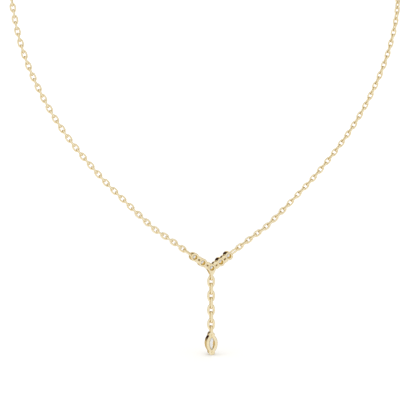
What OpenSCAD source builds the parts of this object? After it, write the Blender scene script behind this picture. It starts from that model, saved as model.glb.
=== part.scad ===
// Y necklace in yellow metal, in millimetres: a loop of fine oval links, a V bar of five round
// settings with pierced discs between them, a short drop of larger links and a marquise pendant.
// The front faces -Y and up is +Z. The origin is where the loop rests on the nape of the neck.

/* [Neck chain] */
// Thickness of the wire in the neck chain
chain_wire = 0.58; // [0.55:0.01:0.6]
// Outside width of a link of the neck chain
chain_link_w = 2.05; // [1.95:0.01:2.2]
// Distance from one link of the neck chain to the next
chain_pitch = 1.875; // [1.8:0.005:1.95]
// Play where two links of the neck chain meet
chain_play = 0.125; // [0.11:0.005:0.15]
// How far the face of the chain is turned outwards in front
front_turn = 1; // [0:1:20]

/* [V bar] */
// Outside width of a round setting
bezel_d = 2.7; // [2.6:0.02:2.8]
// Depth of a round setting from front to back
bezel_depth = 3.4; // [3.2:0.05:3.6]
// Distance from the plane of the loops to the front of a round setting
face_reach = 1.45; // [1.42:0.01:1.5]
// Chamfer round the rims of the settings and discs
rim_chamfer = 0.18; // [0.1:0.01:0.2]
// Distance from the middle setting to the next one
first_step = 3.585; // [3.4:0.005:3.7]
// Distance from the second setting to the outer one
second_step = 3.34; // [3.25:0.005:3.45]
// Slope of the bar beside the middle setting
arm_slope = 32; // [28:0.5:36]
// How much steeper the bar is beyond the second setting
arm_bend = 3; // [0:0.5:6]
// Outside width of a pierced disc in front
disc_d = 2.4; // [2.3:0.02:2.5]
// Outside width of a pierced disc at the back
disc_back_d = 2; // [1.8:0.02:2.2]
// How far the faces of a pierced disc lie behind the rims
disc_setback = 0.22; // [0.1:0.01:0.3]
// Hole through a pierced disc
disc_hole_d = 0.65; // [0.5:0.01:0.75]
// Distance from the outer setting to where the chain is joined on
end_reach = 3.9; // [3.8:0.05:4.2]
// How far the loop at each end of the bar is turned outwards
loop_turn = 28; // [20:1:32]
// How far the plane of the bar's loops lies behind the plane of the chain
bar_setback = 0.45; // [0:0.05:0.8]

/* [Tail of the bar] */
// Width of the tail where it leaves the middle setting
tail_top_w = 2; // [1.6:0.05:2.2]
// Width of the tail at its lower end
tail_end_w = 0.9; // [0.7:0.05:1.1]
// Distance from the middle setting to the lower end of the tail
tail_reach = 2.1; // [1.8:0.05:2.25]
// Depth of the tail from front to back
tail_depth = 2.8; // [2.75:0.01:2.84]
// Distance from the middle setting to where the drop is joined on
tail_joint = 3.38; // [3.3:0.01:3.5]

/* [Round stones] */
// Width of a round stone
stone_d = 1.5; // [1.4:0.01:1.54]
// Clear width of the mouth in front of a round stone
mouth_d = 1.36; // [1.26:0.01:1.38]
// Width of the table of a round stone
table_d = 0.84; // [0.7:0.01:0.95]
// Bore behind a round stone
back_bore_d = 1; // [0.8:0.02:1.1]

/* [Stone seats] */
// Width of the bevel that leads in to a stone
bevel_w = 0.27; // [0.15:0.01:0.3]
// Depth of that bevel
bevel_h = 0.3; // [0.2:0.01:0.34]
// Height of the straight wall below the bevel
lip_h = 0.06; // [0.04:0.01:0.1]
// Gap between a stone and its seat
stone_gap = 0.03; // [0.02:0.005:0.04]
// Height of a stone's crown
crown_h = 0.24; // [0.2:0.01:0.28]
// Height of a stone's girdle
girdle_h = 0.08; // [0.05:0.01:0.1]
// Depth of a stone's pavilion
pavilion_h = 0.64; // [0.55:0.01:0.75]

/* [Drop chain] */
// Thickness of the wire in the drop
drop_wire = 0.8; // [0.75:0.01:0.82]
// Outside width of a link of the drop
drop_link_w = 2.65; // [2.5:0.01:2.8]
// Distance from one link of the drop to the next
drop_pitch = 2.367; // [2.3:0.001:2.45]
// Play where two links of the drop meet
drop_play = 0.13; // [0.11:0.005:0.16]

/* [Pendant] */
// Half of the width of the marquise setting
marquise_half_w = 1.9; // [1.8:0.01:2]
// Half of the width of the opening in front of the marquise stone
opening_half_w = 0.83; // [0.78:0.01:0.88]
// Half of the length of that opening
opening_half_l = 2.05; // [1.95:0.01:2.2]
// Half of the width of the marquise stone
stone_half_w = 0.95; // [0.93:0.01:0.98]
// Half of the width of the marquise stone's table
table_half_w = 0.5; // [0.4:0.01:0.6]
// Half of the width of the opening behind the marquise stone
back_half_w = 0.6; // [0.5:0.01:0.7]
// Depth of the pendant from front to back
pendant_depth = 2.8; // [2.75:0.05:3]
// Outside width of the disc at each end of the pendant
end_disc_d = 1.94; // [1.8:0.02:2.1]
// Distance from the pendant's middle to each end disc
end_disc_reach = 2.835; // [2.75:0.005:2.95]
// Radius of the ball that presses each dimple
dimple_r = 0.4; // [0.35:0.01:0.45]
// Depth of a dimple
dimple_depth = 0.22; // [0.15:0.01:0.28]
// Distance from the joint above the pendant to its upper disc
pendant_drop = 2.27; // [2.2:0.01:2.4]

/* [Clasp] */
// Thickness of the clasp's ring
clasp_wire = 1.1; // [0.9:0.05:1.2]
// Outside width of the clasp's ring
clasp_d = 5.5; // [5:0.1:6]
// Radius of the wire's centre line in each eye of the clasp
eye_r = 0.75; // [0.72:0.01:0.8]
// Room between the clasp's ring and the opening of each eye
eye_room = 0.1; // [0.05:0.01:0.2]

/* [Hidden] */

// Smoothness of turned pieces, of bent wire along its bend and of the wire itself
round_fn = 64;
wire_fn = 24;
// How far a cut runs past the face that it opens
past = 1;
// Smooth steps between two points of the chain's route
route_steps = 8;
// Distance along each side over which the chain keeps the turn that it has in front
front_run = 90;
// Corners round a stone's table
table_sides = 8;
drop_links = 7;

metal = "gold";
stone = "lightcyan";

// Route of the right side of the chain, from the bar to the nape, with the front links at y = 0
route_points = [
    [9.05, 0.45, -0.53], [12.8, 0, 2.3], [15.8, 0, 4.4], [18.9, 0, 6.5], [24.4, 0, 11.6],
    [29.7, 0, 16.8], [35, 0, 22.1], [40, 0, 27.7], [44.8, 0, 33.5], [49.2, 0, 39.5],
    [53.2, 0, 45.9], [56.7, 0, 52.6], [59.7, 0, 59.4], [62.1, 0, 66.5], [63.8, 0, 73.9],
    [64.8, 0.8, 81.4], [64.9, 3.7, 88.8], [63.9, 8.8, 96], [61.4, 15.8, 102], [57.4, 24.4, 106.8],
    [51.2, 34.2, 110.2], [43, 44.2, 111.9], [33.1, 53.2, 112.3], [22.3, 60, 111.9],
    [11.1, 64.4, 111.3], [0, 66, 111]];

// Centre of the middle setting in front, in the frame of the route
centre_spot = [0, bar_setback, -6.64];

function unit(v) = v / norm(v);
function slope_dir(a) = [cos(a), 0, sin(a)];
function across(v, t) = unit(v - (v * t) * t);
// A length in whole thousandths, so that bends and straight wires of a link meet exactly
function exact(l) = round(l * 1000) / 1000;
function mirrored(v, side) = [side * v.x, v.y, v.z];

// Spots on the right arm of the bar
outer_dir = slope_dir(arm_slope + arm_bend);
second_spot = centre_spot + first_step * slope_dir(arm_slope);
outer_spot = second_spot + second_step * outer_dir;
chain_start = outer_spot + end_reach * outer_dir;
arm_spots = [second_spot, outer_spot];
disc_spots = [(centre_spot + second_spot) / 2, (second_spot + outer_spot) / 2];

// Stretch of the hand-chosen route that follows the bar's end and stays put at the nape
last_point = len(route_points) - 1;
route = [for (i = [0:last_point])
    route_points[i] + (chain_start - route_points[0]) * (1 - i / last_point)];

// Smooth curve through the route's points, with its mirror image beyond the nape
function route_at(i) = i < 0 ? 2 * route[0] - route[1]
    : i > last_point ? mirrored(route[2 * last_point - i], -1)
    : route[i];
function smooth(a, b, c, d, t) = (2 * b + (c - a) * t + (2 * a - 5 * b + 4 * c - d) * t * t
    + (3 * b - a - 3 * c + d) * t * t * t) / 2;
curve = [for (i = [0:last_point - 1], k = [0:route_steps - 1])
    smooth(route_at(i - 1), route_at(i), route_at(i + 1), route_at(i + 2), k / route_steps),
    route[last_point]];
distance = [for (i = 0, s = 0; i < len(curve); s = s + norm(curve[min(i + 1, len(curve) - 1)] - curve[i]),
    i = i + 1) s];
half_loop = distance[len(curve) - 1];
function along(s) = [for (k = [0:2]) lookup(s, [for (i = [0:len(curve) - 1]) [distance[i], curve[i][k]]])];

// Clasp: a closed ring with an eye at each side, and the joint in each eye
clasp_r = (clasp_d - clasp_wire) / 2;
eye_centre = clasp_d / 2 + eye_r - chain_wire / 2 + eye_room;
clasp_half = eye_centre + eye_r - (chain_wire + chain_play) / 2;

// Joints of one side of the chain, an even number of equal steps apart
chain_links = 2 * round((half_loop - clasp_half) / chain_pitch / 2);
chain_step = (half_loop - clasp_half) / chain_links;
joints = [for (i = [0:chain_links]) along(i * chain_step)];
nape = joints[chain_links];
rest_spot = [0, nape.y - clasp_wire / 2, nape.z];

// Direction that the face of the chain looks in: turned outwards in front, backwards at the nape
function face_turn(s) = s < front_run ? front_turn
    : front_turn + (180 - front_turn) * (s - front_run) / (half_loop - front_run);
function turned_out(a) = [sin(a), -cos(a), 0];
function face_dir(s) = turned_out(face_turn(s));

// Drop: joints one below the other under the middle setting
drop_top = centre_spot - [0, 0, tail_joint];
function drop_joint(k) = drop_top - [0, 0, k * drop_pitch];
pendant_spot = drop_joint(drop_links) - [0, 0, pendant_drop + end_disc_reach];

// Radius of a link's bent ends, and of the arcs of the marquise
chain_bend_r = exact((chain_link_w - chain_wire) / 2);
drop_bend_r = exact((drop_link_w - drop_wire) / 2);
arc_r = (opening_half_l ^ 2 + opening_half_w ^ 2) / (2 * opening_half_w);
arc_offset = arc_r - opening_half_w;

module placed() {
    translate(-rest_spot) children();
}

// Stands a turned piece with its axis along the depth and its top to the front
module facing() {
    rotate([90, 0, 0]) children();
}

// Puts a piece at a spot with its x axis along t and its z axis along n
module aligned(spot, t, n) {
    w = cross(n, t);
    multmatrix([[t.x, w.x, n.x, spot.x], [t.y, w.y, n.y, spot.y], [t.z, w.z, n.z, spot.z]]) children();
}

// Half ring of wire, open towards -x
module wire_bend(wire, bend_r) {
    rotate([0, 0, -90])
        rotate_extrude(angle = 180, $fn = round_fn)
            translate([bend_r, 0]) circle(d = wire, $fn = wire_fn);
}

// Two straight wires from x = 0 towards +x
module wire_pair(wire, bend_r, l) {
    for (s = [-1, 1])
        translate([0, s * bend_r, 0]) rotate([0, 90, 0]) cylinder(h = l, d = wire, $fn = wire_fn);
}

// Link whose bends are centred half_l from its middle
module wire_link(wire, bend_r, half_l) {
    union() {
        for (s = [0, 180]) rotate([0, 0, s]) translate([half_l, 0, 0]) wire_bend(wire, bend_r);
        translate([-half_l, 0, 0]) wire_pair(wire, bend_r, 2 * half_l);
    }
}

// Soldered loop that reaches along +x to a joint, with legs that run back to the solid behind it
module soldered_loop(wire, bend_r, joint, play, root) {
    bend_x = exact(joint + (wire + play) / 2 - bend_r);
    translate([bend_x, 0, 0]) wire_bend(wire, bend_r);
    translate([root, 0, 0]) wire_pair(wire, bend_r, bend_x - root);
}

// Moves a piece that is h deep so that it reaches as far to the front as the settings do
module fronted(h) {
    translate([0, h / 2 - face_reach, 0]) children();
}

// Outline of a chamfered disc, half_front wide in front and half_back at the back, for turning
function rim_profile(half_front, half_back, h) = [
    [0, -h / 2], [half_back - rim_chamfer, -h / 2], [half_back, -h / 2 + rim_chamfer],
    [half_front, h / 2 - rim_chamfer], [half_front - rim_chamfer, h / 2], [0, h / 2]];

// Levels in a seat, down from the front face
lip_level = bevel_h + lip_h;
girdle_level = lip_level + 2 * stone_gap + crown_h / 4;
under_level = girdle_level + girdle_h + 2 * stone_gap;

// Outline of the cut for a stone: bevel, mouth, undercut, slope under the stone and bore
function seat_profile(mouth, stone_w, bore, h, shift = 0) = [
    [0, h / 2 + past],
    [shift + mouth + bevel_w * (1 + past / bevel_h), h / 2 + past],
    [shift + mouth, h / 2 - bevel_h],
    [shift + mouth, h / 2 - lip_level],
    [shift + stone_w + stone_gap, h / 2 - girdle_level + stone_gap],
    [shift + stone_w + stone_gap, h / 2 - under_level],
    [shift + bore, h / 2 - under_level - (stone_w - bore) * pavilion_h / stone_w],
    [shift + bore, -h / 2 - past],
    [0, -h / 2 - past]];

module turned(profile) {
    facing() rotate_extrude($fn = round_fn) polygon(profile);
}

// Marquise form: what two turned pieces beside each other have in common
module marquise_of(profile) {
    intersection_for (s = [-1, 1])
        translate([s * arc_offset, 0, 0]) turned(profile);
}

// One round setting, without its cut
module round_setting() {
    fronted(bezel_depth) turned(rim_profile(bezel_d / 2, bezel_d / 2, bezel_depth));
}

module disc_between() {
    fronted(bezel_depth)
        turned(rim_profile(disc_d / 2, disc_back_d / 2, bezel_depth - 2 * disc_setback));
}

// Tail under the middle setting, narrowing downwards
module tail() {
    root = 2 * rim_chamfer - bezel_d / 2;
    facing() linear_extrude(height = tail_depth, center = true)
        polygon([[-tail_top_w / 2, root], [tail_top_w / 2, root],
            [tail_end_w / 2, -tail_reach], [-tail_end_w / 2, -tail_reach]]);
}

// How far inside a setting's outer wall a soldered leg ends
leg_root = exact((bezel_d / 2 + stone_d / 2 + stone_gap) / 2);

module v_bar_metal() {
    translate(centre_spot) {
        round_setting();
        tail();
        aligned([0, 0, 0], [0, 0, -1], [1, 0, 0])
            soldered_loop(drop_wire, drop_bend_r, tail_joint, drop_play, leg_root);
    }
    for (side = [-1, 1]) {
        for (spot = arm_spots) translate(mirrored(spot, side)) round_setting();
        for (spot = disc_spots) translate(mirrored(spot, side)) disc_between();
        end_loop(side);
    }
}

// Loop at the end of one arm, turned as the edge-on links of the chain are
module end_loop(side) {
    t = mirrored(outer_dir, side);
    n = across(mirrored(turned_out(loop_turn), side), t);
    aligned(mirrored(outer_spot, side), t, cross(n, t))
        soldered_loop(chain_wire, chain_bend_r, end_reach, chain_play, leg_root);
}

module v_bar() {
    color(metal) placed() difference() {
        v_bar_metal();
        for (spot = stone_spots)
            translate(spot) fronted(bezel_depth)
                turned(seat_profile(mouth_d / 2, stone_d / 2, back_bore_d / 2, bezel_depth));
        for (spot = disc_spots, side = [-1, 1])
            translate(mirrored(spot, side)) fronted(bezel_depth)
                facing() cylinder(h = bezel_depth + past, d = disc_hole_d, center = true, $fn = wire_fn);
    }
}

// Middles of the five settings, from the left end of the bar to the right
stone_spots = [mirrored(outer_spot, -1), mirrored(second_spot, -1), centre_spot, second_spot, outer_spot];

// Corner j of n round a marquise of half width w, from its right tip round the front
function marquise_corner(j, n, w) = let (
        side = j < n / 2 ? 1 : -1,
        r = arc_offset + w,
        reach = acos(arc_offset / r),
        a = reach * (side * (1 - 4 * (j % (n / 2)) / n)))
    [side * (r * cos(a) - arc_offset), r * sin(a)];
function round_corner(j, n, w) = w * [cos(360 * j / n), sin(360 * j / n)];
function corner(j, n, w, long) = long ? marquise_corner(j, n, w) : round_corner(-j, n, w);

// Brilliant-cut stone with its table up: table corners, upper and lower girdle, and the point
module cut_stone(table_w, girdle_w, long = false) {
    n = table_sides;
    m = 2 * n;
    ring = [for (j = [0:m - 1]) corner(j, m, girdle_w, long)];
    points = [
        for (j = [0:n - 1]) let (c = corner(j, n, table_w, long)) [c.x, c.y, crown_h],
        for (c = ring) [c.x, c.y, 0],
        for (c = ring) [c.x, c.y, -girdle_h],
        [0, 0, -girdle_h - pavilion_h]];
    tip = n + 2 * m;
    faces = [
        [for (j = [0:n - 1]) j],
        for (j = [0:n - 1]) [j, n + (2 * j + m - 1) % m, n + 2 * j],
        for (j = [0:n - 1]) [j, n + 2 * j, n + 2 * j + 1],
        for (j = [0:n - 1]) [j, n + 2 * j + 1, (j + 1) % n],
        for (j = [0:m - 1]) [n + j, n + m + j, n + m + (j + 1) % m],
        for (j = [0:m - 1]) [n + j, n + m + (j + 1) % m, n + (j + 1) % m],
        for (j = [0:m - 1]) [n + m + j, tip, n + m + (j + 1) % m]];
    polyhedron(points, faces);
}

module round_stone(k) {
    color(stone) placed() translate(stone_spots[k - 1])
        facing() translate([0, 0, face_reach - girdle_level])
            cut_stone(table_d / 2, stone_d / 2);
}

// Links between the joints of one side, every other one turned by a quarter
module chain_side(side) {
    half_l = exact((chain_step + chain_wire + chain_play) / 2 - chain_bend_r);
    color(metal) placed() for (i = [0:chain_links - 1]) {
        a = mirrored(joints[i], side);
        b = mirrored(joints[i + 1], side);
        t = unit(b - a);
        n = across(mirrored(face_dir((i + 0.5) * chain_step), side), t);
        aligned((a + b) / 2, t, i % 2 == 0 ? n : cross(n, t)) wire_link(chain_wire, chain_bend_r, half_l);
    }
}

module chain_left() {
    chain_side(-1);
}

module chain_right() {
    chain_side(1);
}

// Odd links of the drop show their face, the others their edge
module drop_link(k) {
    half_l = exact((drop_pitch + drop_wire + drop_play) / 2 - drop_bend_r);
    n = k % 2 == 1 ? [0, -1, 0] : [1, 0, 0];
    spot = (drop_joint(k - 1) + drop_joint(k)) / 2;
    color(metal) placed() aligned(spot, [0, 0, -1], n) wire_link(drop_wire, drop_bend_r, half_l);
}

module pendant_metal() {
    marquise_of([for (p = rim_profile(marquise_half_w, marquise_half_w, pendant_depth))
        p.x > 0 ? p + [arc_offset, 0] : p]);
    for (s = [-1, 1])
        translate([0, 0, s * end_disc_reach])
            turned(rim_profile(end_disc_d / 2, end_disc_d / 2, pendant_depth));
    aligned([0, 0, end_disc_reach], [0, 0, 1], [1, 0, 0])
        soldered_loop(drop_wire, drop_bend_r, pendant_drop, drop_play, end_disc_d / 4);
}

module pendant_setting() {
    color(metal) placed() translate(pendant_spot) difference() {
        pendant_metal();
        marquise_of(seat_profile(opening_half_w, stone_half_w, back_half_w, pendant_depth, arc_offset));
        for (s = [-1, 1])
            translate([0, -pendant_depth / 2 - dimple_r + dimple_depth, s * end_disc_reach])
                sphere(r = dimple_r, $fn = round_fn);
    }
}

module marquise_stone() {
    color(stone) placed() translate(pendant_spot)
        facing() translate([0, 0, pendant_depth / 2 - girdle_level])
            cut_stone(table_half_w, stone_half_w, true);
}

// Plain closed clasp that lies flat at the nape
module clasp() {
    color(metal) placed() translate([0, nape.y, nape.z]) facing() {
        rotate_extrude($fn = round_fn) translate([clasp_r, 0]) circle(d = clasp_wire, $fn = wire_fn);
        for (s = [-1, 1])
            translate([s * eye_centre, 0, 0])
                rotate_extrude($fn = round_fn) translate([eye_r, 0]) circle(d = chain_wire, $fn = wire_fn);
    }
}

v_bar();
for (k = [1:5]) round_stone(k);
chain_left();
chain_right();
for (k = [1:drop_links]) drop_link(k);
pendant_setting();
marquise_stone();
clasp();
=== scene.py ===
"""Dresses the y necklace: polished pale gold, cut stones, oval links, a studio and a camera.

Lengths named in millimetres are turned to metres by MM; everything else is in metres. The front
of the necklace faces -Y, and its origin is where the loop rests on the nape of the neck.
"""

import logging
import math
from dataclasses import dataclass
from enum import Enum

import bmesh
import bpy
import numpy as np
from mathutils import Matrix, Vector


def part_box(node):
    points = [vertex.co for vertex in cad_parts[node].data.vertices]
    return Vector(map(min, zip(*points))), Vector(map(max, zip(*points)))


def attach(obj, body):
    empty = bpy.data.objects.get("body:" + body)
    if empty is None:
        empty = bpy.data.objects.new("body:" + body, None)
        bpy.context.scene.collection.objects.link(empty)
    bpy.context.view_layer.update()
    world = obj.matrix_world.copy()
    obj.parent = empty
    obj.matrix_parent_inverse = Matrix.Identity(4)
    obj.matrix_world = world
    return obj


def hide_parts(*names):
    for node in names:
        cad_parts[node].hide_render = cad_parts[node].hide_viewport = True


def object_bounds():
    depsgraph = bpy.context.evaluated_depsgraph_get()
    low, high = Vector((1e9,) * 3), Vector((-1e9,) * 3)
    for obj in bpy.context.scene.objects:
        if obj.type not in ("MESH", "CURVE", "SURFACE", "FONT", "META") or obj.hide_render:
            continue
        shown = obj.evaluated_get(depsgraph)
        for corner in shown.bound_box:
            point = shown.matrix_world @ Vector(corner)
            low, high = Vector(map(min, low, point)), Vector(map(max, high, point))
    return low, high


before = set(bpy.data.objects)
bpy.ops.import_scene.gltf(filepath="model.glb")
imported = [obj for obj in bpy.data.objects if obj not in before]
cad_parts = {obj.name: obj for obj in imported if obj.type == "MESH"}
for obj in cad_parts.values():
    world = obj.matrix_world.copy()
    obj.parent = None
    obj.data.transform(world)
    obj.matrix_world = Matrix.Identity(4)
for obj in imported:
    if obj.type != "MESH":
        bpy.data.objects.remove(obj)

CAD_LOW, CAD_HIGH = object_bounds()
MM = 0.001
GRAIN = 2e-7
GRID_BITS = 21
MERGE = 1e-7
FRONT_LINKS = 30
LOG = logging.getLogger("y_necklace")

Colour = tuple[float, float, float]


class Body(Enum):
    """The rigid bodies that pieces ride on."""

    ROOT = "root"
    PENDANT = "pendant"


class Socket(Enum):
    """Kinds of input that the link tree has."""

    LENGTH = "NodeSocketFloat"
    COUNT = "NodeSocketInt"
    METAL = "NodeSocketMaterial"
    SHAPE = "NodeSocketGeometry"


def node_link(
    tree: bpy.types.NodeTree, out: bpy.types.NodeSocket, into: bpy.types.NodeSocket
) -> None:
    """Joins one socket to another."""
    tree.links.new(out, into)


def principled(material: bpy.types.Material) -> bpy.types.ShaderNode:
    """Gives the material's own surface shader."""
    return next(n for n in material.node_tree.nodes if n.type == "BSDF_PRINCIPLED")


@dataclass(frozen=True)
class GoldFinish:
    """Polished pale gold with a faint change of colour and fine polishing marks."""

    name: str
    bright: Colour = (0.9, 0.79, 0.545)
    deep: Colour = (0.87, 0.745, 0.48)
    edge: Colour = (0.8, 0.64, 0.36)
    smooth: float = 0.08
    worn: float = 0.18
    tone_mm: float = 1.4
    tone_detail: float = 3.0
    tone_span: tuple[float, float] = (0.35, 0.62)
    mark_mm: float = 0.09
    mark_detail: float = 2.0
    mark_span: tuple[float, float] = (0.3, 0.75)
    mark_height_mm: float = 0.0012
    mark_strength: float = 0.35

    def material(self) -> bpy.types.Material:
        """Builds the node material.

        Returns:
            The new material.
        """
        made = bpy.data.materials.new(self.name)
        made.use_nodes = True
        tree = made.node_tree
        shader = principled(made)
        shader.inputs["Metallic"].default_value = 1.0
        shader.inputs["Specular Tint"].default_value = (*self.edge, 1.0)
        place = tree.nodes.new("ShaderNodeTexCoord").outputs["Object"]
        tone = self._noise(tree, place, self.tone_mm, self.tone_detail)
        ramp = tree.nodes.new("ShaderNodeValToRGB")
        stops = zip(ramp.color_ramp.elements, self.tone_span, (self.deep, self.bright))
        for element, position, colour in stops:
            element.position = position
            element.color = (*colour, 1.0)
        node_link(tree, tone, ramp.inputs["Fac"])
        node_link(tree, ramp.outputs["Color"], shader.inputs["Base Color"])
        marks = self._noise(tree, place, self.mark_mm, self.mark_detail)
        spread = tree.nodes.new("ShaderNodeMapRange")
        spread.inputs["From Min"].default_value = self.mark_span[0]
        spread.inputs["From Max"].default_value = self.mark_span[1]
        spread.inputs["To Min"].default_value = self.smooth
        spread.inputs["To Max"].default_value = self.worn
        node_link(tree, marks, spread.inputs["Value"])
        node_link(tree, spread.outputs["Result"], shader.inputs["Roughness"])
        bump = tree.nodes.new("ShaderNodeBump")
        bump.inputs["Strength"].default_value = self.mark_strength
        bump.inputs["Distance"].default_value = self.mark_height_mm * MM
        node_link(tree, marks, bump.inputs["Height"])
        node_link(tree, bump.outputs["Normal"], shader.inputs["Normal"])
        return made

    @staticmethod
    def _noise(
        tree: bpy.types.NodeTree, place: bpy.types.NodeSocket, grain_mm: float, detail: float
    ) -> bpy.types.NodeSocket:
        """Adds a noise pattern.

        Args:
            tree: the material's nodes.
            place: the coordinates that the pattern follows.
            grain_mm: size of one patch.
            detail: how many finer layers it has.

        Returns:
            The pattern's value.
        """
        noise = tree.nodes.new("ShaderNodeTexNoise")
        noise.inputs["Scale"].default_value = 1.0 / (grain_mm * MM)
        noise.inputs["Detail"].default_value = detail
        node_link(tree, place, noise.inputs["Vector"])
        return noise.outputs["Fac"]


@dataclass(frozen=True)
class StoneWithPaintedReflection:
    """Cut stone whose base colour is a painted reflection: painted cool white to one side and a
    painted reflection of its gold seat over the rest.
    """

    name: str
    # Painted reflection colours: near white and cool white make the painted highlight side, dark
    # gold is the painted reflection of the seat.
    clear: Colour = (0.98, 0.99, 1.0)
    painted_cool_reflection: Colour = (0.9, 0.93, 0.98)
    painted_seat_reflection: Colour = (0.78, 0.5, 0.09)
    # The way across the stone towards its painted seat reflection.
    toward_painted_reflection: tuple[float, float, float] = (1.0, 0.0, -1.0)
    clear_span: float = 0.2
    turn_at: float = 0.4
    turned_at: float = 0.52
    scatter: float = 0.2
    bend: float = 1.75
    clearness: float = 0.18
    facet_mm: float = 0.4

    def material(self, middle: Vector, reach: float) -> bpy.types.Material:
        """Builds the node material of one stone.

        Args:
            middle: the stone's middle.
            reach: distance from there to the stone's edge, along the way the painted reflection
                changes.

        Returns:
            The new material.
        """
        made = bpy.data.materials.new(self.name)
        made.use_nodes = True
        tree = made.node_tree
        shader = principled(made)
        shader.inputs["IOR"].default_value = self.bend
        shader.inputs["Roughness"].default_value = 0.0
        shader.inputs["Transmission Weight"].default_value = self.clearness
        # The ramp paints the reflection across the stone, white highlight on one side and seat gold
        # on the other.
        ramp = tree.nodes.new("ShaderNodeValToRGB")
        ramp.color_ramp.elements.new(0.5)
        stops = (
            (self.turn_at - self.clear_span, self.clear),
            (self.turn_at, self.painted_cool_reflection),
            (self.turned_at, self.painted_seat_reflection),
        )
        for element, (at, colour) in zip(ramp.color_ramp.elements, stops):
            element.position = at
            element.color = (*colour, 1.0)
        node_link(tree, self._share(tree, middle, reach), ramp.inputs["Fac"])
        node_link(tree, ramp.outputs["Color"], shader.inputs["Base Color"])
        return made

    def _share(
        self, tree: bpy.types.NodeTree, middle: Vector, reach: float
    ) -> bpy.types.NodeSocket:
        """Adds the pattern of the painted reflection, which runs from the stone's painted cool
        white side to its side of painted seat gold.

        Args:
            tree: the material's nodes.
            middle: the stone's middle.
            reach: distance from there to the stone's edge.

        Returns:
            The pattern's value, 0.5 at the middle and scattered by patches like facets.
        """
        place = tree.nodes.new("ShaderNodeTexCoord").outputs["Object"]
        offset = tree.nodes.new("ShaderNodeVectorMath")
        offset.operation = "SUBTRACT"
        offset.inputs[1].default_value = middle
        node_link(tree, place, offset.inputs[0])
        along = tree.nodes.new("ShaderNodeVectorMath")
        along.operation = "DOT_PRODUCT"
        along.inputs[1].default_value = Vector(self.toward_painted_reflection).normalized() / (2.0 * reach)
        node_link(tree, offset.outputs["Vector"], along.inputs[0])
        cells = tree.nodes.new("ShaderNodeTexVoronoi")
        cells.inputs["Scale"].default_value = 1.0 / (self.facet_mm * MM)
        node_link(tree, place, cells.inputs["Vector"])
        moved = tree.nodes.new("ShaderNodeMath")
        moved.operation = "MULTIPLY_ADD"
        moved.inputs[1].default_value = self.scatter
        node_link(tree, cells.outputs["Color"], moved.inputs[0])
        node_link(tree, along.outputs["Value"], moved.inputs[2])
        centred = tree.nodes.new("ShaderNodeMath")
        centred.operation = "ADD"
        centred.inputs[1].default_value = 0.5 - self.scatter / 2.0
        node_link(tree, moved.outputs[0], centred.inputs[0])
        return centred.outputs[0]


def welded(node: str) -> bmesh.types.BMesh:
    """Copies a CAD node's mesh and merges its loose triangles.

    Args:
        node: name of the CAD node.

    Returns:
        The merged copy, which the caller frees.
    """
    mesh = bmesh.new()
    mesh.from_mesh(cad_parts[node].data)
    bmesh.ops.remove_doubles(mesh, verts=mesh.verts, dist=MERGE)
    return mesh


def add_piece(name: str, mesh: bpy.types.Mesh) -> bpy.types.Object:
    """Links a mesh into the scene as a piece.

    Args:
        name: name of the piece.
        mesh: its mesh.

    Returns:
        The new object, at the origin.
    """
    piece = bpy.data.objects.new(name, mesh)
    bpy.context.scene.collection.objects.link(piece)
    return piece


def made_plain(piece: bpy.types.Object) -> None:
    """Turns a piece and its live modifiers into a plain mesh."""
    view = bpy.context.evaluated_depsgraph_get()
    plain = bpy.data.meshes.new_from_object(piece.evaluated_get(view))
    piece.modifiers.clear()
    piece.data = plain


@dataclass(frozen=True)
class LinkPlace:
    """Where one link lies: its middle, the way it runs and the way its face looks."""

    spot: Vector
    run: Vector
    face: Vector
    length: float
    width: float
    wire: float


def link_places(node: str) -> list[LinkPlace]:
    """Reads every link's place and size off the solids of a CAD node.

    The faces of one solid stand together in the mesh, so a new solid starts wherever no corner
    is shared across two neighbouring faces of the list.

    Args:
        node: name of a node that holds one link or a whole row of them.

    Returns:
        One place for each link.
    """
    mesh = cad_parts[node].data
    spots = np.empty(len(mesh.vertices) * 3, dtype=np.float32)
    mesh.vertices.foreach_get("co", spots)
    corners = np.empty(len(mesh.loops), dtype=np.int32)
    mesh.loops.foreach_get("vertex_index", corners)
    starts = np.empty(len(mesh.polygons), dtype=np.int32)
    mesh.polygons.foreach_get("loop_start", starts)
    points = spots.reshape(-1, 3)[corners].astype(float)
    face_of = np.searchsorted(starts, np.arange(len(corners)), side="right") - 1
    grid = np.round(points / GRAIN).astype(np.int64) + 2 ** (GRID_BITS - 1)
    keys = (grid[:, 0] << 2 * GRID_BITS) | (grid[:, 1] << GRID_BITS) | grid[:, 2]
    first = np.unique(keys, return_index=True)[1]
    last = len(keys) - 1 - np.unique(keys[::-1], return_index=True)[1]
    shared = np.zeros(len(starts), dtype=np.int64)
    np.add.at(shared, face_of[first], 1)
    np.add.at(shared, face_of[last], -1)
    ends = np.flatnonzero(np.cumsum(shared) == 0)[:-1] + 1
    return [link_place(part) for part in np.split(points, starts[ends])]


def link_place(points: np.ndarray) -> LinkPlace:
    """Works out one link's place from its corners.

    Args:
        points: the corners, one row each.

    Returns:
        The place, with the link's outside length and width and its wire.
    """
    middle = (points.max(axis=0) + points.min(axis=0)) / 2
    axes = np.linalg.eigh(np.cov((points - middle).T))[1].T[::-1]
    spans = []
    for axis in axes:
        along = (points - middle) @ axis
        middle = middle + axis * (along.max() + along.min()) / 2
        spans.append(float(along.max() - along.min()))
    return LinkPlace(Vector(middle), Vector(axes[0]), Vector(axes[2]), *spans)


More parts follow.
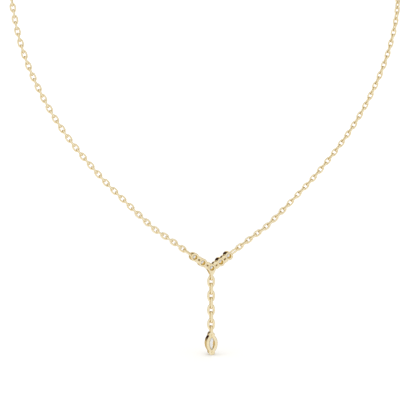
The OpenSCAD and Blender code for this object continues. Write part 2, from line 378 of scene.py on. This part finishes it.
class LinkTree:
    """Geometry Nodes tree that lays one oval link of wire at each point of a mesh."""

    RUN = "link_run"
    FACE = "link_face"
    OVAL_STEPS = 96

    def __init__(self, roundness: float = 2.5) -> None:
        """Builds the tree.

        Args:
            roundness: power of the link's outline, 2 for an ellipse and more for squarer ends.
        """
        self.roundness = roundness
        self.group = bpy.data.node_groups.new("oval_links", "GeometryNodeTree")
        self.sockets: dict[str, str] = {}
        self.source = self.group.nodes.new("NodeGroupInput")
        self._inputs()
        self._grow()

    def _inputs(self) -> None:
        """Adds the tree's named inputs and its output."""
        face = self.group.interface
        face.new_socket("Places", in_out="INPUT", socket_type=Socket.SHAPE.value)
        for name in ("Link Length", "Link Width", "Wire"):
            self.sockets[name] = face.new_socket(
                name, in_out="INPUT", socket_type=Socket.LENGTH.value
            ).identifier
        for name in ("Steps Round Link", "Sides Of Wire"):
            self.sockets[name] = face.new_socket(
                name, in_out="INPUT", socket_type=Socket.COUNT.value
            ).identifier
        self.sockets["Metal"] = face.new_socket(
            "Metal", in_out="INPUT", socket_type=Socket.METAL.value
        ).identifier
        face.new_socket("Links", in_out="OUTPUT", socket_type=Socket.SHAPE.value)

    def _add(self, kind: str, **inputs: object) -> bpy.types.Node:
        """Adds a node and feeds its inputs.

        Args:
            kind: the node's type.
            **inputs: sockets to join or plain values, by input name with _ for a space.

        Returns:
            The new node.
        """
        node = self.group.nodes.new(kind)
        for name, value in inputs.items():
            target = node.inputs[name.replace("_", " ")]
            if isinstance(value, bpy.types.NodeSocket):
                node_link(self.group, value, target)
            else:
                target.default_value = value
        return node

    def _math(self, operation: str, first: object, second: object = None) -> bpy.types.NodeSocket:
        """Adds one step of arithmetic.

        Args:
            operation: Blender's name of the step.
            first: a socket or number.
            second: a socket or number, where the step takes two.

        Returns:
            The result.
        """
        node = self.group.nodes.new("ShaderNodeMath")
        node.operation = operation
        for target, value in zip(node.inputs, (first, second)):
            if isinstance(value, bpy.types.NodeSocket):
                node_link(self.group, value, target)
            elif value is not None:
                target.default_value = value
        return node.outputs[0]

    def _stretched(
        self, part: bpy.types.NodeSocket, outside: bpy.types.NodeSocket
    ) -> bpy.types.NodeSocket:
        """Swells one coordinate of a unit circle to half of the link's centre line.

        Args:
            part: the coordinate.
            outside: the link's outside size along it.

        Returns:
            The coordinate on the oval.
        """
        swollen = self._math("POWER", self._math("ABSOLUTE", part), 2.0 / self.roundness)
        signed = self._math("MULTIPLY", swollen, self._math("SIGN", part))
        centre_line = self._math("SUBTRACT", outside, self.source.outputs["Wire"])
        half = self._math("MULTIPLY", centre_line, 0.5)
        return self._math("MULTIPLY", signed, half)

    def _grow(self) -> None:
        """Lays out the nodes from the oval to the realized links."""
        given = self.source.outputs
        ring = self._add(
            "GeometryNodeCurvePrimitiveCircle", Resolution=self.OVAL_STEPS, Radius=1.0
        )
        position = self._add("GeometryNodeInputPosition").outputs[0]
        parts = self._add("ShaderNodeSeparateXYZ", Vector=position)
        oval = self._add(
            "ShaderNodeCombineXYZ",
            X=self._stretched(parts.outputs["X"], given["Link Length"]),
            Y=self._stretched(parts.outputs["Y"], given["Link Width"]),
        )
        shaped = self._add(
            "GeometryNodeSetPosition", Geometry=ring.outputs["Curve"], Position=oval.outputs[0]
        )
        even = self._add(
            "GeometryNodeResampleCurve", Curve=shaped.outputs[0], Count=given["Steps Round Link"]
        )
        section = self._add(
            "GeometryNodeCurvePrimitiveCircle",
            Resolution=given["Sides Of Wire"],
            Radius=self._math("MULTIPLY", given["Wire"], 0.5),
        )
        link = self._add(
            "GeometryNodeCurveToMesh", Curve=even.outputs[0], Profile_Curve=section.outputs["Curve"]
        )
        turn = self._add(
            "FunctionNodeAxesToRotation",
            Primary_Axis=self._stored(self.FACE),
            Secondary_Axis=self._stored(self.RUN),
        )
        turn.primary_axis, turn.secondary_axis = "Z", "X"
        laid = self._add(
            "GeometryNodeInstanceOnPoints",
            Points=given["Places"],
            Instance=link.outputs[0],
            Rotation=turn.outputs[0],
        )
        real = self._add("GeometryNodeRealizeInstances", Geometry=laid.outputs[0])
        soft = self._add("GeometryNodeSetShadeSmooth", Geometry=real.outputs[0])
        metal = self._add(
            "GeometryNodeSetMaterial", Geometry=soft.outputs[0], Material=given["Metal"]
        )
        sink = self.group.nodes.new("NodeGroupOutput")
        node_link(self.group, metal.outputs[0], sink.inputs["Links"])

    def _stored(self, name: str) -> bpy.types.NodeSocket:
        """Reads a vector that is stored on each point.

        Args:
            name: the attribute's name.

        Returns:
            Its value.
        """
        node = self.group.nodes.new("GeometryNodeInputNamedAttribute")
        node.data_type = "FLOAT_VECTOR"
        node.inputs["Name"].default_value = name
        return next(s for s in node.outputs if s.enabled and s.name == "Attribute")

    def lay(
        self, name: str, places: list[LinkPlace], metal: bpy.types.Material, steps: int, sides: int
    ) -> bpy.types.Object:
        """Lays links and turns them into a plain mesh.

        Args:
            name: name of the new piece.
            places: where the links go.
            metal: what they are made of.
            steps: how many steps go round one link.
            sides: how many sides the wire has.

        Returns:
            The new piece.
        """
        mesh = bpy.data.meshes.new(name)
        mesh.from_pydata([p.spot for p in places], [], [])
        mesh.materials.append(metal)
        directions = {self.RUN: [p.run for p in places], self.FACE: [p.face for p in places]}
        for key, rows in directions.items():
            stored = mesh.attributes.new(key, "FLOAT_VECTOR", "POINT")
            stored.data.foreach_set("vector", np.array([r[:] for r in rows], dtype=float).ravel())
        piece = add_piece(name, mesh)
        modifier = piece.modifiers.new("oval_links", "NODES")
        modifier.node_group = self.group
        first = places[0]
        for key, value in {
            "Link Length": first.length, "Link Width": first.width, "Wire": first.wire,
            "Steps Round Link": steps, "Sides Of Wire": sides, "Metal": metal,
        }.items():
            modifier[self.sockets[key]] = value
        made_plain(piece)
        return piece


@dataclass
class NeckChain:
    """One side of the fine neck chain."""

    node: str
    steps: int = 20
    sides: int = 8
    body: Body = Body.ROOT
    slot: str = "gold_chain"

    def build(self, tree: LinkTree, metal: bpy.types.Material) -> bpy.types.Object:
        """Lays oval links where the CAD chain's links are.

        Args:
            tree: the tree that lays links.
            metal: their finish.

        Returns:
            The piece that stands for the node.
        """
        places = link_places(self.node)
        piece = tree.lay(f"{self.node}_links", places, metal, self.steps, self.sides)
        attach(piece, self.body.value)
        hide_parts(self.node)
        return piece


@dataclass
class Drop:
    """The row of larger links that carries the pendant."""

    count: int = 7
    steps: int = 32
    sides: int = 14
    slot: str = "gold_drop"

    def build(self, tree: LinkTree, metal: bpy.types.Material) -> list[bpy.types.Object]:
        """Lays one oval link for each CAD link of the drop.

        Args:
            tree: the tree that lays links.
            metal: their finish.

        Returns:
            The new pieces, from the top down.
        """
        made = []
        for number in range(1, self.count + 1):
            node = f"drop_link_{number}"
            places = link_places(node)
            piece = tree.lay(f"{node}_oval", places, metal, self.steps, self.sides)
            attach(piece, Body.ROOT.value)
            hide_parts(node)
            made.append(piece)
        return made


@dataclass
class SolderedPiece:
    """A soldered piece whose CAD form is kept and whose small edges are polished round."""

    node: str
    body: Body
    slot: str
    crease_deg: float = 62.0
    flat_deg: float = 0.3
    evenness: int = 80

    def build(self, metal: bpy.types.Material) -> bpy.types.Object:
        """Copies the CAD form and shades its chamfers as rounded edges.

        Args:
            metal: the finish.

        Returns:
            The piece that stands for the node.
        """
        form = welded(self.node)
        bmesh.ops.dissolve_limit(
            form, angle_limit=math.radians(self.flat_deg), verts=form.verts, edges=form.edges
        )
        bmesh.ops.triangulate(form, faces=[f for f in form.faces if len(f.verts) > 4])
        crease = math.radians(self.crease_deg)
        for edge in form.edges:
            edge.smooth = len(edge.link_faces) == 2 and edge.calc_face_angle(0.0) < crease
        for face in form.faces:
            face.smooth = True
        mesh = bpy.data.meshes.new(f"{self.node}_polished")
        form.to_mesh(mesh)
        form.free()
        mesh.materials.append(metal)
        piece = add_piece(f"{self.node}_polished", mesh)
        even = piece.modifiers.new("even", "WEIGHTED_NORMAL")
        even.keep_sharp = True
        even.weight = self.evenness
        made_plain(piece)
        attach(piece, self.body.value)
        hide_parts(self.node)
        return piece


@dataclass
class Stones:
    """The cut stones, which keep their CAD facets."""

    stone_materials: dict[str, StoneWithPaintedReflection]

    def dress(self) -> None:
        """Gives every stone its own material with a painted reflection, measured off its box."""
        for name, finish in self.stone_materials.items():
            low, high = (Vector(corner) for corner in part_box(name))
            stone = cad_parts[name]
            stone.data.materials.clear()
            middle, reach = (low + high) / 2.0, (high.x - low.x) / 2.0
            stone.data.materials.append(finish.material(middle, reach))
            LOG.info("dressed %s", name)


@dataclass
class Viewpoint:
    """The camera at the photograph's angle to the necklace."""

    azimuth: float = 15.37
    elevation: float = 5.705
    lens_mm: float = 138.46
    distance_mm: float = 523.0
    aim_aside_mm: float = -1.18
    aim_above_mm: float = 19.81
    near_m: float = 0.01
    far_m: float = 20.0

    def build(self) -> bpy.types.Object:
        """Sets up the camera, aimed above the middle stone in the plane of the chain.

        Returns:
            The camera.
        """
        low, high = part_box("round_stone_3")
        aim = Vector((
            (low[0] + high[0]) / 2 + self.aim_aside_mm * MM,
            PLANE_Y,
            (low[2] + high[2]) / 2 + self.aim_above_mm * MM,
        ))
        turn, tilt = math.radians(self.azimuth), math.radians(self.elevation)
        level = math.cos(tilt)
        back = Vector((-math.sin(turn) * level, -math.cos(turn) * level, math.sin(tilt)))
        camera = bpy.data.objects.new("camera", bpy.data.cameras.new("camera"))
        camera.data.lens = self.lens_mm
        camera.data.clip_start, camera.data.clip_end = self.near_m, self.far_m
        camera.location = aim + back * self.distance_mm * MM
        camera.rotation_euler = (-back).to_track_quat("-Z", "Y").to_euler()
        bpy.context.scene.collection.objects.link(camera)
        bpy.context.scene.camera = camera
        return camera


def chain_plane() -> float:
    """Depth of the plane that the front of the chain hangs in, off the links of its front."""
    low = sorted(link_places("chain_right"), key=lambda place: place.spot.z)
    return float(np.median([place.spot.y for place in low[:FRONT_LINKS]]))


PLANE_Y = chain_plane()


@dataclass(frozen=True)
class SkyPatch:
    """A soft round patch of one colour in the surroundings."""

    toward: tuple[float, float, float]
    core_deg: float
    fade_deg: float
    colour: Colour


@dataclass
class Studio:
    """White studio: a floor, a backdrop, a glow all round and one soft light above.

    The depths give the colour of the surroundings from straight in front, 0, to straight behind, 1.
    """

    floor_gap_mm: float = 0.04
    floor_half_m: float = 0.4
    floor_colour: Colour = (0.95, 0.95, 0.95)
    floor_roughness: float = 0.9
    dome_radius_m: float = 9.0
    dome_glow: float = 1.2
    light_spot: tuple[float, float, float] = (0.0, 0.0, 2.0)
    light_aim_z: float = -0.1
    light_size_m: float = 3.0
    light_power_w: float = 23.0
    glow: float = 1.0
    depths: tuple[tuple[float, Colour], ...] = (
        (0.0, (0.97, 0.97, 0.97)),
        (0.5, (0.95, 0.95, 0.95)),
        (0.8, (0.85, 0.82, 0.76)),
        (1.0, (0.78, 0.74, 0.66)),
    )
    patches: tuple[SkyPatch, ...] = (
        SkyPatch((0.85, 0.13, 0.49), 12.0, 45.0, (0.62, 0.6, 0.56)),
        SkyPatch((-0.49, -0.1, -0.85), 20.0, 60.0, (1.08, 1.08, 1.08)),
        SkyPatch((-0.16, 0.93, 0.33), 13.0, 28.0, (0.04, 0.012, 0.002)),
        SkyPatch((0.32, 0.94, 0.1), 12.0, 20.0, (0.95, 0.93, 0.88)),
    )

    def build(self) -> None:
        """Builds the floor, the surroundings and the light."""
        self._floor()
        self._backdrop()
        self._world()
        self._light()
        bpy.context.scene.view_settings.view_transform = "Standard"

    def _floor(self) -> None:
        """Lays a white floor just under the pendant."""
        half, z = self.floor_half_m, CAD_LOW[2] - self.floor_gap_mm * MM
        mesh = bpy.data.meshes.new("floor")
        corners = [(-half, -half, z), (half, -half, z), (half, half, z), (-half, half, z)]
        mesh.from_pydata(corners, [], [(0, 1, 2, 3)])
        material = bpy.data.materials.new("floor_white")
        material.use_nodes = True
        shader = principled(material)
        shader.inputs["Base Color"].default_value = (*self.floor_colour, 1.0)
        shader.inputs["Roughness"].default_value = self.floor_roughness
        mesh.materials.append(material)
        floor = add_piece("floor", mesh)
        floor.visible_glossy = False

    def _backdrop(self) -> None:
        """Closes the studio with a white dome that only the camera sees."""
        dome = bmesh.new()
        bmesh.ops.create_icosphere(dome, subdivisions=4, radius=self.dome_radius_m)
        bmesh.ops.reverse_faces(dome, faces=dome.faces)
        mesh = bpy.data.meshes.new("backdrop")
        dome.to_mesh(mesh)
        dome.free()
        material = bpy.data.materials.new("backdrop_white")
        material.use_nodes = True
        shader = principled(material)
        shader.inputs["Base Color"].default_value = (0.0, 0.0, 0.0, 1.0)
        shader.inputs["Emission Color"].default_value = (1.0, 1.0, 1.0, 1.0)
        shader.inputs["Emission Strength"].default_value = self.dome_glow
        mesh.materials.append(material)
        dome_piece = add_piece("backdrop", mesh)
        dome_piece.visible_diffuse = dome_piece.visible_glossy = False
        dome_piece.visible_transmission = dome_piece.visible_shadow = False
        dome_piece.visible_volume_scatter = False

    def _world(self) -> None:
        """Paints the surroundings: white, darker behind, with a few soft patches."""
        world = bpy.data.worlds.new("studio")
        world.use_nodes = True
        tree = world.node_tree
        sky = next(n for n in tree.nodes if n.type == "BACKGROUND")
        place = tree.nodes.new("ShaderNodeTexCoord").outputs["Generated"]
        parts = tree.nodes.new("ShaderNodeSeparateXYZ")
        node_link(tree, place, parts.inputs[0])
        half = tree.nodes.new("ShaderNodeMapRange")
        half.inputs["From Min"].default_value = -1.0
        node_link(tree, parts.outputs["Y"], half.inputs["Value"])
        ramp = tree.nodes.new("ShaderNodeValToRGB")
        while len(ramp.color_ramp.elements) < len(self.depths):
            ramp.color_ramp.elements.new(0.5)
        for element, (at, colour) in zip(ramp.color_ramp.elements, self.depths):
            element.position = at
            element.color = (*colour, 1.0)
        node_link(tree, half.outputs["Result"], ramp.inputs["Fac"])
        colour = ramp.outputs["Color"]
        for patch in self.patches:
            colour = self._painted(tree, place, colour, patch)
        node_link(tree, colour, sky.inputs["Color"])
        sky.inputs["Strength"].default_value = self.glow
        bpy.context.scene.world = world

    @staticmethod
    def _painted(
        tree: bpy.types.NodeTree,
        place: bpy.types.NodeSocket,
        under: bpy.types.NodeSocket,
        patch: SkyPatch,
    ) -> bpy.types.NodeSocket:
        """Paints one patch over a colour.

        Args:
            tree: the world's nodes.
            place: the direction that is looked in.
            under: the colour so far.
            patch: the patch.

        Returns:
            The colour with the patch in it.
        """
        near = tree.nodes.new("ShaderNodeVectorMath")
        near.operation = "DOT_PRODUCT"
        near.inputs[1].default_value = Vector(patch.toward).normalized()
        node_link(tree, place, near.inputs[0])
        share = tree.nodes.new("ShaderNodeMapRange")
        share.interpolation_type = "SMOOTHSTEP"
        share.inputs["From Min"].default_value = math.cos(math.radians(patch.fade_deg))
        share.inputs["From Max"].default_value = math.cos(math.radians(patch.core_deg))
        node_link(tree, near.outputs["Value"], share.inputs["Value"])
        mix = tree.nodes.new("ShaderNodeMix")
        mix.data_type = "RGBA"
        node_link(tree, share.outputs["Result"], mix.inputs["Factor"])
        colours = [socket for socket in mix.inputs if socket.type == "RGBA"]
        node_link(tree, under, colours[0])
        colours[1].default_value = (*patch.colour, 1.0)
        return next(socket for socket in mix.outputs if socket.type == "RGBA")

    def _light(self) -> None:
        """Hangs a soft area light that lights the floor and leaves no mark in the metal."""
        light = bpy.data.lights.new("top", "AREA")
        light.size = self.light_size_m
        light.energy = self.light_power_w
        lamp = bpy.data.objects.new("top", light)
        lamp.visible_glossy = False
        lamp.location = self.light_spot
        aim = Vector((0.0, PLANE_Y, self.light_aim_z)) - Vector(self.light_spot)
        lamp.rotation_euler = aim.to_track_quat("-Z", "Y").to_euler()
        bpy.context.scene.collection.objects.link(lamp)


def main() -> None:
    """Builds and dresses every piece in order and reports each one."""
    logging.basicConfig(level=logging.INFO, format="%(name)s %(relativeCreated)d ms: %(message)s")
    Viewpoint().build()
    chain_gold = GoldFinish("chain_gold").material()
    drop_gold = GoldFinish("drop_gold").material()
    tree = LinkTree()
    for side in ("left", "right"):
        piece = NeckChain(f"chain_{side}").build(tree, chain_gold)
        LOG.info("laid %s, %d faces", piece.name, len(piece.data.polygons))
    for piece in Drop().build(LinkTree(roundness=2.2), drop_gold):
        LOG.info("laid %s, %d faces", piece.name, len(piece.data.polygons))
    for node, body, slot in (
        ("v_bar", Body.ROOT, "gold_bar"),
        ("pendant_setting", Body.PENDANT, "gold_pendant"),
        ("clasp", Body.ROOT, "gold_clasp"),
    ):
        piece = SolderedPiece(node, body, slot).build(GoldFinish(f"{node}_gold").material())
        LOG.info("polished %s, %d faces", piece.name, len(piece.data.polygons))
    stone_materials = {f"round_stone_{n}": StoneWithPaintedReflection(f"round_stone_{n}_cut") for n in range(1, 6)}
    # On the marquise the painted reflection turns mostly sideways and further along the stone.
    stone_materials["marquise_stone"] = StoneWithPaintedReflection(
        "marquise_stone_cut",
        toward_painted_reflection=(1.0, 0.0, -0.12),
        turn_at=0.6,
        turned_at=0.74,
        clearness=0.2,
    )
    Stones(stone_materials).dress()
    Studio().build()


if __name__ == "__main__":
    main()
